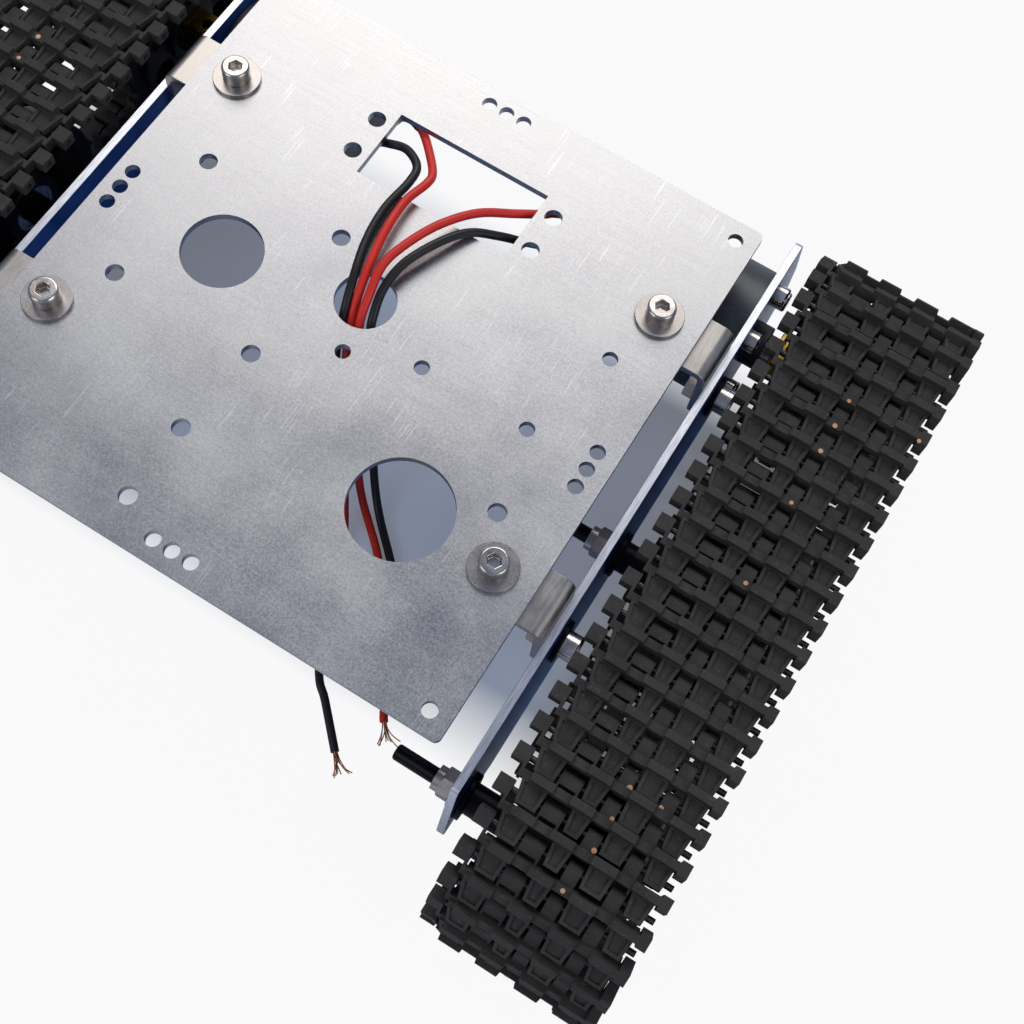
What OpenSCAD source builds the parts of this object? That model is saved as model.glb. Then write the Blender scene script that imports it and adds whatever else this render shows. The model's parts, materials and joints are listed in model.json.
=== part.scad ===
/* [Deck] */
// Width of the top plate, across the chassis
deck_w = 141.3; // [138:0.1:144]
// Length of the top plate, front to rear
deck_l = 148; // [144:1:150]
// Thickness of the top plate
deck_t = 2; // [1.5:0.5:2.5]
// Height of the top plate's upper face over the ground
deck_top = 60; // [60:0.5:62]
// Diameter of the round hole that the motor wires go down through
wire_hole_d = 15; // [14:0.5:18]
// Diameter of the large hole on the right, at the front
right_hole_d = 25; // [20:0.5:27]
// Diameter of the large hole on the left
left_hole_d = 20; // [14:0.5:22]
// Width of the rectangular cable window
window_w = 42.5; // [40:0.5:44]
// Length of the cable window, front to rear
window_l = 20; // [18:0.5:22]

/* [Side plates] */
// Distance between the inner faces of the two side plates
inner_w = 156; // [154:1:160]
// Thickness of a side plate
side_t = 2; // [1.5:0.5:2.5]
// Height of a side plate's top edge over the ground
side_top = 52; // [50:0.5:53]
// Height of a side plate's bottom edge over the ground
side_bottom = 12; // [10:0.5:13]

/* [Brackets and fasteners] */
// Width of an angle bracket, front to rear
bracket_w = 15; // [14:0.5:18]
// Leg of an angle bracket
bracket_leg = 23.6; // [23.2:0.2:24]
// Distance between the deck screws across the chassis
screw_span_x = 121.2; // [119:0.2:122]
// Distance between the deck screws front to rear
screw_span_y = 74.8; // [70:0.2:76]

/* [Track] */
// Distance between neighbouring track pins
track_pitch = 7.7; // [7.6:0.05:7.8]
// Links in one straight run, which sets the wheel base
run_links = 18; // [17:1:18]
// Height of the grouser bar over the pin line
bar_h = 4.4; // [4:0.1:4.8]
// Distance from the side plate to the inner edge of the link body
track_gap = 8.5; // [8.5:0.5:10]
// How far round the track stands, in links
track_phase = 0.24; // [0:0.01:0.99]

/* [Wheels] */
// Teeth of the drive sprocket
sprocket_teeth = 21; // [21:2:21]
// Width of every wheel
wheel_w = 25; // [24:0.5:25]
// Rim clearance under the track pins
rim_drop = 2.25; // [2.2:0.05:2.4]

/* [Motor] */
// Diameter of the gearbox
gearbox_d = 37; // [35:0.5:37.5]
// Length of the gearbox
gearbox_l = 19.5; // [18:0.5:21]
// Length of the motor can behind the gearbox
can_l = 16; // [14:0.5:17]

/* [Hidden] */
$fn = 48;

// Places shared by several pieces
deck_x = 0.65;
deck_y = 5.5;
screw_y = 8.3;
track_link_count = 2 * run_links + sprocket_teeth;
half_turn_links = sprocket_teeth / 2;
pitch_r = track_pitch / (2 * sin(180 / sprocket_teeth));
axle_z = pitch_r + bar_h;
half_base = run_links * track_pitch / 2;
rim_r = pitch_r - rim_drop;
deck_under = deck_top - deck_t;
side_x = inner_w / 2;
outer_x = side_x + side_t;
track_x = outer_x + track_gap;
wheel_x = outer_x + 16;

// M4 and M3 hardware
m4_r = 2;
m4_hole_r = 2.25;
m4_head_r = 3.5;
m4_head_h = 4;
m3_r = 1.5;
washer_t = 1;
nut_t = 3.2;
nut_af = 7;
bracket_t = 2;
bracket_bend_r = 3;
bracket_hole_z = deck_under - 19;

// ---------------------------------------------------------------- helpers

// A polygon with every corner rounded, worked out from its corner points.
function unit(v) = v / norm(v);
function corner_arc(before, at, after, r) =
    let (
        u = unit(before - at),
        v = unit(after - at),
        half = acos(u * v) / 2,
        centre = at + unit(u + v) * r / sin(half),
        start = at + u * r / tan(half) - centre,
        turn = (cross(u, v) > 0 ? -1 : 1) * (180 - 2 * half)
    )
    [for (i = [0 : 4])
        let (a = turn * i / 4)
        centre + [start.x * cos(a) - start.y * sin(a), start.x * sin(a) + start.y * cos(a)]];
module rounded_outline(points, r) {
    n = len(points);
    polygon([for (i = [0 : n - 1])
        each corner_arc(points[(i + n - 1) % n], points[i], points[(i + 1) % n], r)]);
}

// A piece drawn along +Z, laid along +X with its start at x.
module along_x(x) {
    translate([x, 0, 0])
        rotate([0, 90, 0])
            children();
}

// The right-hand piece as drawn, or its mirror image for the left side.
module on_side(side) {
    mirror([side < 0 ? 1 : 0, 0, 0])
        children();
}

// Socket head cap screw: head upwards, the underside of the head at z = 0.
module cap_screw(r, length, head_r, head_h) {
    difference() {
        union() {
            cylinder(r = head_r, h = head_h - 0.4);
            translate([0, 0, head_h - 0.4])
                cylinder(r1 = head_r, r2 = head_r - 0.4, h = 0.4);
            translate([0, 0, -length + 0.4])
                cylinder(r = r, h = length);
            translate([0, 0, -length])
                cylinder(r1 = r - 0.4, r2 = r, h = 0.4);
        }
        translate([0, 0, head_h / 2])
            cylinder(r = r * 0.87, h = head_h, $fn = 6);
    }
}

module washer(outer_r, thickness, hole_r) {
    difference() {
        cylinder(r = outer_r, h = thickness);
        translate([0, 0, -1])
            cylinder(r = hole_r, h = thickness + 2);
    }
}

// Hexagon nut with chamfered corners, standing on z = 0.
module hex_nut(af, thickness, hole_r) {
    corner_r = af / sqrt(3);
    chamfer = 0.3;
    difference() {
        intersection() {
            cylinder(r = corner_r, h = thickness, $fn = 6);
            rotate_extrude()
                polygon([[0, 0], [af / 2, 0], [corner_r, chamfer],
                    [corner_r, thickness - chamfer], [af / 2, thickness], [0, thickness]]);
        }
        translate([0, 0, -1])
            cylinder(r = hole_r, h = thickness + 2);
    }
}

// ---------------------------------------------------------------- deck

window_x = 0.2;
window_y = 49.6;
window_hole_x = 25.5;
window_hole_dy = 5.4;
wire_hole_at = [0.5, 11];
right_hole_at = [36, -28.5];
left_hole_at = [-35, 3.5];
board_at = [-33, 3.5];
board_w = 38.5;
board_l = 37;
pair_at = [-16, -48.5];
pair_span = 19.5;
corner_inset_x = 4.65;
corner_inset_y = 5.3;
small_hole_r = 1.9;
row_pitch = 5;
row_front_x = -0.4;
row_rear_x = 0.4;
row_inset = 5;
row_right_y = 2.4;
row_left_y = 4.6;
single_holes = [[54.5, -17.5, m4_hole_r], [3.5, -3, small_hole_r], [21, 3.5, small_hole_r],
    [56.5, 29.5, small_hole_r], [49.5, 3.5, small_hole_r]];

// The four corners of a rectangle round a centre.
function rectangle(centre, w, l) =
    [for (sx = [-1, 1], sy = [-1, 1]) centre + [sx * w / 2, sy * l / 2]];

deck_screw_at = rectangle([0, screw_y], screw_span_x, screw_span_y);

module round_holes(places, r) {
    for (p = places)
        translate([p.x, p.y])
            circle(r = r);
}

module deck_outline() {
    rounded_outline([for (c = [[-1, -1], [1, -1], [1, 1], [-1, 1]])
        [deck_x + c.x * deck_w / 2, deck_y + c.y * deck_l / 2]], 1.5);
}

module window_outline() {
    translate([window_x - window_w / 2, window_y - window_l / 2])
        square([window_w, window_l]);
}

module row_of_three(centre, direction) {
    for (i = [-1 : 1])
        translate(centre + direction * i * row_pitch)
            circle(r = small_hole_r);
}

module top_plate() {
    color("silver")
        translate([0, 0, deck_under])
            linear_extrude(deck_t)
                difference() {
                    deck_outline();
                    window_outline();
                    round_holes(deck_screw_at, m4_hole_r);
                    round_holes([wire_hole_at], wire_hole_d / 2);
                    round_holes([right_hole_at], right_hole_d / 2);
                    round_holes([left_hole_at], left_hole_d / 2);
                    round_holes(rectangle([window_x, window_y], 2 * window_hole_x, 2 * window_hole_dy),
                        m4_hole_r);
                    round_holes(rectangle(board_at, board_w, board_l), m4_hole_r);
                    round_holes([pair_at - [0, pair_span / 2], pair_at + [0, pair_span / 2]], m4_hole_r);
                    round_holes(rectangle([0, deck_y], deck_w - 2 * corner_inset_x,
                        deck_l - 2 * corner_inset_y), small_hole_r);
                    row_of_three([row_front_x, deck_y - deck_l / 2 + row_inset], [1, 0]);
                    row_of_three([row_rear_x, deck_y + deck_l / 2 - row_inset], [1, 0]);
                    row_of_three([deck_w / 2 - row_inset + 0.35, row_right_y], [0, 1]);
                    row_of_three([-deck_w / 2 + row_inset + 0.15, row_left_y], [0, 1]);
                    for (h = single_holes)
                        translate([h.x, h.y])
                            circle(r = h.z);
                }
}

// ---------------------------------------------------------------- side plates and brackets

axle_ys = [-half_base, 0];
motor_y = half_base;
motor_screw_r = 15.5;
boss_r = 6;

// Corner points of a side plate, front to rear, seen from the right.
side_outline = [
    [-half_base - 4.7, side_top], [-half_base - 9.7, 22], [-half_base - 1.5, 20.5],
    [-half_base + 12, side_bottom], [half_base + 15, side_bottom], [half_base + 27.5, 18],
    [half_base + 26.5, 30], [half_base + 18.7, side_top]
];

module side_plate(side) {
    color("steelblue")
        on_side(side)
            difference() {
                translate([side_x, 0, 0])
                    rotate([90, 0, 90])
                        linear_extrude(side_t)
                            rounded_outline(side_outline, 2);
                along_x(side_x - 1) {
                    for (y = axle_ys)
                        translate([-axle_z, y, 0])
                            cylinder(r = m4_hole_r - 0.1, h = side_t + 2);
                    for (p = deck_screw_at)
                        translate([-bracket_hole_z, p.y, 0])
                            cylinder(r = m4_hole_r, h = side_t + 2);
                    translate([-axle_z, motor_y, 0]) {
                        cylinder(r = boss_r + 0.15, h = side_t + 2);
                        for (i = [0 : 5])
                            rotate(60 * i + 30)
                                translate([motor_screw_r, 0, 0])
                                    cylinder(r = m3_r + 0.1, h = side_t + 2);
                    }
                }
            }
}

// Angle bracket: one leg under the deck, one leg against the side plate.
module bracket_profile() {
    translate([bracket_bend_r, 0])
        square([bracket_leg - bracket_bend_r, bracket_t]);
    translate([0, bracket_bend_r])
        square([bracket_t, bracket_leg - bracket_bend_r]);
    intersection() {
        square(bracket_bend_r);
        translate([bracket_bend_r, bracket_bend_r])
            difference() {
                circle(r = bracket_bend_r);
                circle(r = bracket_bend_r - bracket_t);
            }
    }
}

// Outline of one leg, seen square on, with its far end rounded.
module leg_outline() {
    straight = bracket_leg - bracket_w / 2;
    translate([0, -bracket_w / 2])
        square([straight, bracket_w]);
    translate([straight, 0])
        circle(d = bracket_w);
}

module one_bracket(y) {
    difference() {
        translate([side_x, y, deck_under])
            intersection() {
                rotate([90, 180, 0])
                    linear_extrude(bracket_w, center = true)
                        bracket_profile();
                translate([0, 0, -bracket_leg])
                    rotate(180)
                        linear_extrude(bracket_leg)
                            leg_outline();
                translate([-bracket_leg, 0, 0])
                    rotate([0, 90, 0])
                        linear_extrude(bracket_leg)
                            leg_outline();
            }
        translate([screw_span_x / 2, y, deck_under - bracket_leg])
            cylinder(r = m4_hole_r, h = bracket_leg + 1);
        translate([0, y, bracket_hole_z])
            along_x(side_x - bracket_leg / 2)
                cylinder(r = m4_hole_r, h = bracket_leg);
    }
}

bracket_ys = [for (sy = [-1, 1]) screw_y + sy * screw_span_y / 2];

module at_brackets() {
    for (side = [-1, 1], y = bracket_ys)
        on_side(side)
            translate([0, y, 0])
                children();
}

module angle_brackets() {
    color("gainsboro")
        for (side = [-1, 1], y = bracket_ys)
            on_side(side)
                one_bracket(y);
}

// Deck screws go down through a wide washer, the deck and the bracket's upper leg.
deck_washer_r = 6;
deck_screw_l = 10;
module deck_screws() {
    color("whitesmoke")
        at_brackets()
            translate([screw_span_x / 2, 0, deck_top + washer_t])
                cap_screw(m4_r, deck_screw_l, m4_head_r, m4_head_h);
}

module deck_washers() {
    color("gainsboro")
        at_brackets()
            translate([screw_span_x / 2, 0, deck_top])
                washer(deck_washer_r, washer_t, m4_hole_r);
}

module deck_nuts() {
    color("gainsboro")
        at_brackets()
            translate([screw_span_x / 2, 0, deck_under - bracket_t - nut_t])
                hex_nut(nut_af, nut_t, m4_r + 0.02);
}

// Side screws go inwards through a black washer, the side plate and the bracket's other leg.
side_washer_r = 5.5;
side_screw_l = 8;
module at_side_screws() {
    at_brackets()
        translate([0, 0, bracket_hole_z])
            children();
}

module side_screws() {
    color("whitesmoke")
        at_side_screws()
            along_x(outer_x + washer_t)
                cap_screw(m4_r, side_screw_l, m4_head_r, m4_head_h);
}

module side_washers() {
    color("black")
        at_side_screws()
            along_x(outer_x)
                washer(side_washer_r, washer_t, m4_hole_r);
}

module side_nuts() {
    color("gainsboro")
        at_side_screws()
            along_x(side_x - bracket_t - nut_t)
                rotate(30)
                    hex_nut(nut_af, nut_t, m4_r + 0.02);
}

// ---------------------------------------------------------------- motors

can_r = gearbox_d / 2 - 1.5;
boss_l = 6;
shaft_r = 3;
gearbox_x = side_x - gearbox_l;
can_x = gearbox_x - can_l;
cap_t = 3;
terminal_dy = 4.5;
terminal_dz = 2;
terminal_l = 3;
solder_l = 1.5;
coupling_x = outer_x + 6.5;
coupling_l = 18;
coupling_af = 12;
shaft_end = coupling_x + 12;
set_screw_x = coupling_x + 4;

module at_motor() {
    translate([0, motor_y, axle_z])
        children();
}

module gearbox(side) {
    color("dimgray")
        on_side(side)
            at_motor()
                along_x(gearbox_x)
                    difference() {
                        union() {
                            cylinder(r = gearbox_d / 2, h = gearbox_l);
                            cylinder(r = boss_r, h = gearbox_l + boss_l);
                        }
                        translate([0, 0, gearbox_l - 10])
                            cylinder(r = shaft_r + 0.05, h = boss_l + 11);
                        for (i = [0 : 5])
                            rotate(60 * i + 30)
                                translate([motor_screw_r, 0, gearbox_l - 5.5])
                                    cylinder(r = m3_r + 0.02, h = 6);
                    }
}

module motor_can(side) {
    color("gray")
        on_side(side)
            at_motor()
                along_x(can_x)
                    rotate_extrude()
                        polygon([[0, 0], [can_r - 1.5, 0], [can_r, 1.5], [can_r, can_l], [0, can_l]]);
}

module motor_end_caps() {
    color("black")
        for (side = [-1, 1])
            on_side(side)
                at_motor()
                    along_x(can_x - cap_t) {
                        cylinder(r = can_r - 3, h = cap_t);
                    }
}

module motor_terminals() {
    color("gold")
        for (side = [-1, 1], dy = [-1, 1])
            on_side(side)
                at_motor()
                    translate([can_x - cap_t - terminal_l, dy * terminal_dy, terminal_dz]) {
                        translate([0, -1.2, -0.4])
                            cube([terminal_l, 2.4, 0.8]);
                        along_x(-solder_l)
                            cylinder(r = 1.1, h = solder_l);
                    }
}

module motor_face_screws() {
    color("whitesmoke")
        for (side = [-1, 1])
            on_side(side)
                at_motor()
                    along_x(outer_x)
                        for (i = [0 : 5])
                            rotate(60 * i + 30)
                                translate([motor_screw_r, 0, 0])
                                    cap_screw(m3_r, 7, 2.75, 3);
}

// Output shaft, with a flat for the coupling's set screws.
module output_shaft(side) {
    flat = 0.5;
    color("lightgray")
        on_side(side)
            at_motor()
                difference() {
                    along_x(side_x - 9.5)
                        cylinder(r = shaft_r, h = shaft_end - side_x + 9.5);
                    translate([coupling_x, -shaft_r - 1, shaft_r - flat])
                        cube([coupling_l, 2 * shaft_r + 2, 2]);
                }
}

module hex_coupling(side) {
    end_depth = 10;
    color("goldenrod")
        on_side(side)
            at_motor()
                difference() {
                    along_x(coupling_x)
                        intersection() {
                            rotate(30)
                                cylinder(r = coupling_af / sqrt(3), h = coupling_l, $fn = 6);
                            rotate_extrude()
                                polygon([[0, 0], [coupling_af / 2, 0], [coupling_af / sqrt(3), 0.5],
                                    [coupling_af / sqrt(3), coupling_l], [0, coupling_l]]);
                        }
                    along_x(coupling_x - 1)
                        cylinder(r = shaft_r + 0.02, h = shaft_end - coupling_x + 1.5);
                    along_x(shaft_end)
                        cylinder(r = m4_r + 0.02, h = end_depth);
                    translate([set_screw_x, 0, 0])
                        cylinder(r = m3_r + 0.02, h = coupling_af);
                }
}

module coupling_set_screws(side) {
    color("dimgray")
        on_side(side)
            at_motor()
                translate([set_screw_x, 0, shaft_r - 0.4])
                    difference() {
                        cylinder(r = m3_r, h = 3);
                        translate([0, 0, 1.5])
                            cylinder(r = 0.85, h = 2, $fn = 6);
                    }
}

// ---------------------------------------------------------------- track

// Columns of a link across the track, in mm from the link body's inner edge:
// four finger pads lie over the front pin, three knuckles stand on the rear pin.
body_w = 38.5;
fingers = [[1, 7.8, 2.6, 7.4], [13.5, 18.5, 14.3, 17.7], [22.5, 28.5, 23, 28], [32.5, 38.2, 33.5, 37.5]];
tooth_knuckles = [[8.1, 13.2], [28.8, 32.2]];
guide_knuckle = [18.8, 22.2];
barrel_r = 1.9;
pin_r = 0.75;
pin_hole_r = 0.8;
half_pitch = track_pitch / 2;
bar_u = 1;
arm_low = 0.8;
web_low = -1.4;
web_high = 1.9;
pad_top = 2.6;
pad_low = 0.9;
pad_border = 0.8;
pad_recess = 0.5;
pad_tip_u = -6.2;
horn_depth = 4.6;
side_block_w = 2.4;
inner_block_w = 3.1;

// Place on the track's pin line, s counted in links from the front wheel's top.
function track_point(s) =
    let (
        wrapped = s - track_link_count * floor(s / track_link_count),
        step = 180 / half_turn_links,
        rear_arc = wrapped - run_links,
        bottom = rear_arc - half_turn_links,
        front_arc = bottom - run_links
    )
    wrapped < run_links ? [-half_base + wrapped * track_pitch, pitch_r]
    : rear_arc < half_turn_links
        ? [half_base + pitch_r * sin(rear_arc * step), pitch_r * cos(rear_arc * step)]
    : bottom < run_links ? [half_base - bottom * track_pitch, -pitch_r]
    : [-half_base - pitch_r * sin(front_arc * step), -pitch_r * cos(front_arc * step)];

// A shape drawn in the link's side view (u along the track, h outwards), from one
// column edge to the other.
module across(from, to) {
    translate([from, 0, 0])
        rotate([90, 0, 90])
            linear_extrude(to - from)
                children();
}

// Side view of a finger: the barrel on the front pin, its web and the pad over it.
module finger_profile() {
    translate([-half_pitch, 0])
        circle(r = barrel_r);
    translate([-half_pitch, web_low])
        square([half_pitch + bar_u, web_high - web_low]);
    translate([pad_tip_u, pad_low])
        square([-pad_tip_u, pad_top - pad_low]);
}

module knuckle_profile(low) {
    translate([half_pitch, 0])
        circle(r = barrel_r);
    translate([-bar_u, low])
        square([half_pitch + bar_u, web_high - low]);
}

// A finger, narrowing towards its tip, with a shallow floor inside a raised border.
module finger(f) {
    run = bar_u - pad_tip_u;
    left = (f[2] - f[0]) / run;
    right = (f[3] - f[1]) / run;
    tip = pad_tip_u + pad_border;
    root = -bar_u - 0.4;
    difference() {
        intersection() {
            across(f[0], f[1])
                finger_profile();
            translate([0, 0, -3])
                linear_extrude(6)
                    polygon([[f[0], bar_u], [f[2], pad_tip_u], [f[3], pad_tip_u], [f[1], bar_u]]);
        }
        translate([0, 0, pad_top - pad_recess])
            linear_extrude(1)
                polygon([for (c = [[0, left, root], [0, left, tip], [1, right, tip], [1, right, root]])
                    [f[c[0]] + (bar_u - c[2]) * c[1] + (1 - 2 * c[0]) * pad_border, c[2]]]);
    }
}

// Grouser bar seen along the track: four high teeth with lower stretches between them.
module bar_elevation() {
    polygon([
        [2.5, arm_low], [3, bar_h], [8.5, bar_h], [8.7, 3.4], [12.3, 3.4], [12.5, bar_h],
        [18, bar_h], [18.3, 3.1], [22.2, 3.1], [22.5, bar_h], [28.3, bar_h], [28.6, 3.1],
        [32, 3.1], [32.3, bar_h], [body_w, bar_h], [body_w, arm_low]
    ]);
}

module link() {
    difference() {
        union() {
            for (f = fingers)
                finger(f);
            for (k = tooth_knuckles)
                across(k[0], k[1])
                    knuckle_profile(arm_low);
            across(guide_knuckle[0], guide_knuckle[1]) {
                knuckle_profile(web_low);
                polygon([[-bar_u, web_low], [-0.6, -horn_depth], [0.6, -horn_depth], [bar_u, web_low]]);
            }
            across(0, body_w)
                translate([-bar_u, arm_low])
                    square([2 * bar_u, web_high - arm_low]);
            rotate([90, 0, 0])
                linear_extrude(2 * bar_u, center = true)
                    bar_elevation();
            across(0, 0.7)
                translate([-bar_u, web_low])
                    square([half_pitch + bar_u + barrel_r, web_high - web_low]);
            across(-inner_block_w, 0)
                translate([half_pitch - barrel_r, web_low])
                    square([2 * barrel_r, web_high - web_low]);
            across(body_w, body_w + side_block_w)
                translate([-1.6, web_low])
                    square([3.3, bar_h - web_low]);
        }
        for (u = [-half_pitch, half_pitch])
            translate([0, u, 0])
                along_x(-inner_block_w - 1)
                    cylinder(r = pin_hole_r, h = body_w + 2 * inner_block_w);
        translate([tooth_knuckles[0][0] + 0.5, bar_u, 0])
            cube([4, 1.1, 3]);
    }
}

module on_track(s) {
    from = track_point(s);
    to = track_point(s + 1);
    translate([track_x, (from.x + to.x) / 2, axle_z + (from.y + to.y) / 2])
        rotate([atan2(to.y - from.y, to.x - from.x), 0, 0])
            children();
}

module track_links(side) {
    color("dimgray")
        on_side(side)
            for (i = [0 : track_link_count - 1])
                on_track(i + track_phase)
                    link();
}

// Steel pins through the barrels of neighbouring links.
module track_pins(side) {
    color("gray")
        on_side(side)
            for (i = [0 : track_link_count - 1])
                on_track(i + track_phase)
                    translate([0, half_pitch, 0])
                        along_x(-inner_block_w + 0.9)
                            cylinder(r = pin_r, h = body_w + inner_block_w + 0.4, $fn = 24);
}

// ---------------------------------------------------------------- wheels

hub_r = 9;
rim_inner_r = rim_r - 4.6;
web_t = 5;
groove_r = rim_r - horn_depth + 0.6;
guide_x = track_x + (guide_knuckle[0] + guide_knuckle[1]) / 2 - wheel_x;
groove_w = 5.4;
tooth_clearance = 0.3;
tooth_tip_r = pitch_r + 0.1;
tooth_disc = [[9, 12.6], [29.2, 31.8]];
spoke_count = 6;
screw_recess = 5;

// bearing, 4 x 13 x 5 mm
bearing_r = 6.5;
bearing_w = 5;
bearing_inner_r = 3.2;
bearing_gap = 0.08;

module at_axle(y) {
    translate([0, y, axle_z])
        children();
}

// Openings between the spokes of a wheel web.
module web_openings(h) {
    for (i = [0 : spoke_count - 1])
        rotate(360 / spoke_count * i)
            translate([(hub_r + rim_inner_r) / 2, 0, 0])
                cylinder(r = (rim_inner_r - hub_r) / 2 - 1.1, h = h);
}

// Idler and road wheel: two rims with a groove for the guide horns between them,
// one web, and a hub with a bearing pocket at each end.
module free_wheel() {
    web_from = guide_x - web_t / 2;
    difference() {
        rotate_extrude($fn = 96)
            polygon([
                [3.6, 0], [hub_r, 0], [hub_r, web_from], [rim_inner_r, web_from],
                [rim_inner_r, 0], [rim_r - 0.6, 0], [rim_r, 0.6],
                [rim_r, guide_x - groove_w / 2], [groove_r, guide_x - groove_w / 2],
                [groove_r, guide_x + groove_w / 2], [rim_r, guide_x + groove_w / 2],
                [rim_r, wheel_w - 0.6], [rim_r - 0.6, wheel_w], [rim_inner_r, wheel_w],
                [rim_inner_r, web_from + web_t], [hub_r, web_from + web_t],
                [hub_r, wheel_w], [3.6, wheel_w]
            ]);
        for (z = [-1, wheel_w - bearing_w])
            translate([0, 0, z])
                cylinder(r = bearing_r + 0.02, h = bearing_w + 1);
        translate([0, 0, web_from - 1])
            web_openings(web_t + 2);
    }
}

module free_wheels(side, y) {
    color("darkslategray")
        on_side(side)
            at_axle(y)
                along_x(wheel_x)
                    free_wheel();
}

// Outer ring of a ball bearing with its two shields.
module bearing_outer_ring() {
    shield_r = bearing_inner_r + bearing_gap;
    rotate_extrude()
        polygon([[shield_r, 0.3], [5.4, 0.3], [5.4, 0], [bearing_r, 0], [bearing_r, bearing_w],
            [5.4, bearing_w], [5.4, bearing_w - 0.3], [shield_r, bearing_w - 0.3]]);
}

module at_bearings() {
    for (x = [0, wheel_w - bearing_w])
        along_x(wheel_x + x)
            children();
}

module outer_bearings(side, y) {
    color("silver")
        on_side(side)
            at_axle(y)
                at_bearings()
                    bearing_outer_ring();
}

module bearing_inner_rings() {
    color("silver")
        for (side = [-1, 1], y = axle_ys)
            on_side(side)
                at_axle(y)
                    at_bearings()
                        washer(bearing_inner_r, bearing_w, m4_r + 0.03);
}

// Axle bolt: its head outside the wheel, its nut inside the side plate.
axle_bolt_l = 60;
collar_r = 6;
collar_t = 1.2;
spacer_r = 4;
inner_washer_r = 4.5;

module at_axles() {
    for (side = [-1, 1], y = axle_ys)
        on_side(side)
            at_axle(y)
                children();
}

module axle_bolts() {
    color("black")
        at_axles()
            along_x(wheel_x + wheel_w)
                cap_screw(m4_r, axle_bolt_l, m4_head_r, m4_head_h);
}

module axle_collars() {
    color("black")
        at_axles()
            along_x(outer_x)
                washer(collar_r, collar_t, m4_r + 0.03);
}

module axle_spacers() {
    color("black")
        at_axles()
            along_x(outer_x + collar_t)
                washer(spacer_r, wheel_x - outer_x - collar_t, m4_r + 0.03);
}

module axle_inner_washers() {
    color("gainsboro")
        at_axles()
            along_x(side_x - washer_t)
                washer(inner_washer_r, washer_t, m4_hole_r);
}

// Locking nut: a hexagon with a round collar on its far side.
module axle_nuts() {
    color("gainsboro")
        at_axles()
            along_x(side_x - washer_t - 5)
                difference() {
                    union() {
                        translate([0, 0, 1.8])
                            hex_nut(nut_af, nut_t, m4_r + 0.02);
                        cylinder(r = 3.1, h = 2);
                    }
                    translate([0, 0, -1])
                        cylinder(r = m4_r + 0.02, h = 8);
                }
}

// One toothed disc: the gaps are rounded out round the track's barrels.
module toothed_disc(h) {
    difference() {
        cylinder(r = tooth_tip_r, h = h, $fn = 96);
        translate([0, 0, -1])
            cylinder(r = drum_r - 1, h = h + 2);
        for (i = [0 : sprocket_teeth - 1])
            rotate(180 - (i + track_phase) * 360 / sprocket_teeth)
                translate([pitch_r, 0, -1])
                    cylinder(r = barrel_r + tooth_clearance, h = h + 2);
    }
}

// Body of the sprocket: hub, web and drum, turned round the bore.
drum_r = rim_r - 3;
module sprocket_drum() {
    socket_depth = coupling_x + coupling_l - wheel_x;
    difference() {
        rotate_extrude($fn = 96)
            polygon([
                [m4_hole_r, 0], [hub_r, 0], [hub_r, 2], [rim_inner_r, 2], [rim_inner_r, 0],
                [drum_r, 0], [drum_r, wheel_w], [rim_inner_r, wheel_w], [rim_inner_r, wheel_w - 4],
                [hub_r, wheel_w - 4], [hub_r, wheel_w - 1], [m4_head_r + 0.3, wheel_w - 1],
                [m4_head_r + 0.3, wheel_w - screw_recess], [m4_hole_r, wheel_w - screw_recess]
            ]);
        translate([0, 0, -1])
            rotate(30)
                cylinder(r = coupling_af / sqrt(3) + 0.05, h = socket_depth + 1, $fn = 6);
        translate([0, 0, -1])
            web_openings(wheel_w + 2);
    }
}

module drive_sprocket(side) {
    color("darkslategray")
        on_side(side)
            at_motor() {
                along_x(wheel_x)
                    sprocket_drum();
                for (d = tooth_disc)
                    along_x(track_x + d[0])
                        toothed_disc(d[1] - d[0]);
            }
}

module sprocket_screw(side) {
    screw_l = 17;
    color("black")
        on_side(side)
            at_motor()
                along_x(wheel_x + wheel_w - screw_recess)
                    cap_screw(m4_r, screw_l, m4_head_r, m4_head_h);
}

// ---------------------------------------------------------------- wires

wire_r = 1.1;
strand_r = 0.45;
wire_sides = 8;

// Routes of the motor wires, from the motor terminal to the bare end.
start_x = can_x - cap_t - terminal_l - solder_l;
terminal_z = axle_z + terminal_dz;
far_y = motor_y + terminal_dy;
near_y = motor_y - terminal_dy;
route_right_red = [
    [start_x, far_y, terminal_z], [start_x - 2, far_y, terminal_z], [31, 71.5, 38],
    [27.4, 65.8, 47.4], [24, 60, 54], [22, 57, 55.8], [16.8, 52, 58], [10.2, 45, 61.6], [5.1, 36, 64],
    [1.5, 26.5, 64.6], [0.1, 19, 64.4], [1.2, 11.5, 62.4], [2.2, 6, 58.8], [3.8, 2, 50],
    [5.5, -1.5, 38], [7.4, -5.2, 23], [10.6, -10.3, 9.5], [13.6, -13.4, 2.8], [17.6, -16.9, 1.2],
    [25.3, -23.9, 1.2], [34.5, -34.5, 1.2], [43, -47, 1.2], [49.6, -58, 1.2], [50.9, -59.9, 1.2]
];
route_right_black = [
    [start_x, near_y, terminal_z], [start_x - 2, near_y, terminal_z], [30.4, 61.6, 38],
    [25.6, 54.8, 46.8], [21.2, 48.5, 54], [17, 44.5, 58], [11.5, 39.5, 61.4], [7.5, 32.5, 63.2],
    [3.8, 23, 63.6], [3, 15, 62.4], [4.3, 8.5, 60], [5.3, 5.5, 56], [7, 2.5, 46],
    [9, -0.5, 32], [11.5, -4.6, 17], [15, -9.4, 5.5], [20.2, -15, 1.3], [28.1, -22.5, 1.2],
    [37, -31.5, 1.2], [50, -47.5, 1.2]
];
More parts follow.
